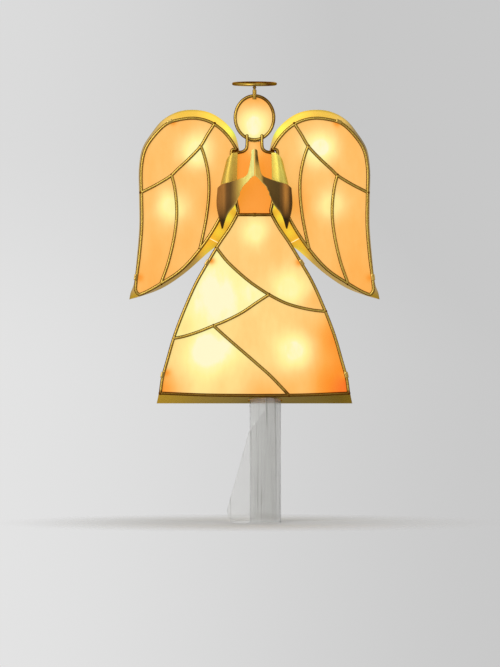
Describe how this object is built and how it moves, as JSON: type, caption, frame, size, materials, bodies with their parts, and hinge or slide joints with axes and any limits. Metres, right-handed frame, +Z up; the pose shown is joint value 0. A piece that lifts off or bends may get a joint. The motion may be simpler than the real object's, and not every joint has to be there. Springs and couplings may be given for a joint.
{
  "type": "tree topper",
  "caption": "Lighted angel tree topper: wire frames with translucent panes over gold back trays, folded arms, a halo and a clear sleeve for the tree's tip.",
  "frame": {"origin": "middle of the whole's box, at its lowest point, the lower end of the clear sleeve", "axes": "+Z up along the sleeve, -Y towards the panes, +X to the right seen from the front"},
  "size_m": [0.2374, 0.0632, 0.4174],
  "materials": {
    "gold_sheet": "satin gold sheet metal with soft reflections",
    "gold_wire": "gold plated round wire",
    "pane": "translucent amber-white pane, lit from behind",
    "bulb_glass": "warm white lamp",
    "socket_plastic": "ivory moulded plastic",
    "lead_jacket": "ivory lead jacket",
    "clear_plastic": "clear plastic sheet",
    "ring_plastic": "moulded plastic",
    "rubber": "moulded rubber"
  },
  "bodies": {
    "sleeve": {"tree_sleeve": "clear_plastic"},
    "angel": {"body_tray": "gold_sheet", "wing_tray_left": "gold_sheet", "wing_tray_right": "gold_sheet", "head_tray": "gold_sheet", "upper_arm_left": "gold_sheet", "upper_arm_right": "gold_sheet", "forearm_left": "gold_sheet", "forearm_right": "gold_sheet", "body_frame": "gold_wire", "wing_frame_left": "gold_wire", "wing_frame_right": "gold_wire", "head_ring": "gold_wire", "halo": "gold_wire", "halo_tube": "gold_wire", "rivet_left_01": "gold_wire", "rivet_left_02": "gold_wire", "rivet_right_01": "gold_wire", "rivet_right_02": "gold_wire", "torso_pane": "pane", "head_pane": "pane", "dress_pane_01": "pane", "dress_pane_02": "pane", "dress_pane_03": "pane", "dress_pane_04": "pane", "wing_pane_01_left": "pane", "wing_pane_01_right": "pane", "wing_pane_02_left": "pane", "wing_pane_02_right": "pane", "wing_pane_03_left": "pane", "wing_pane_03_right": "pane", "wing_pane_04_left": "pane", "wing_pane_04_right": "pane", "lamp_bulb_01": "bulb_glass", "lamp_bulb_02": "bulb_glass", "lamp_bulb_03": "bulb_glass", "lamp_bulb_04": "bulb_glass", "lamp_bulb_05": "bulb_glass", "lamp_bulb_06": "bulb_glass", "lamp_bulb_07": "bulb_glass", "lamp_bulb_08": "bulb_glass", "lamp_bulb_09": "bulb_glass", "lamp_bulb_10": "bulb_glass", "lamp_socket_01": "socket_plastic", "lamp_socket_02": "socket_plastic", "lamp_socket_03": "socket_plastic", "lamp_socket_04": "socket_plastic", "lamp_socket_05": "socket_plastic", "lamp_socket_06": "socket_plastic", "lamp_socket_07": "socket_plastic", "lamp_socket_08": "socket_plastic", "lamp_socket_09": "socket_plastic", "lamp_socket_10": "socket_plastic", "lamp_leads": "lead_jacket", "sleeve_ring_lower": "ring_plastic", "sleeve_ring_upper": "ring_plastic", "lead_grommet": "rubber"}
  },
  "joints": [
    {"name": "angel_lift", "type": "slide", "parent": "sleeve", "child": "angel", "axis": [0, 0, 1], "range_m": [0, 0.05]}
  ]
}
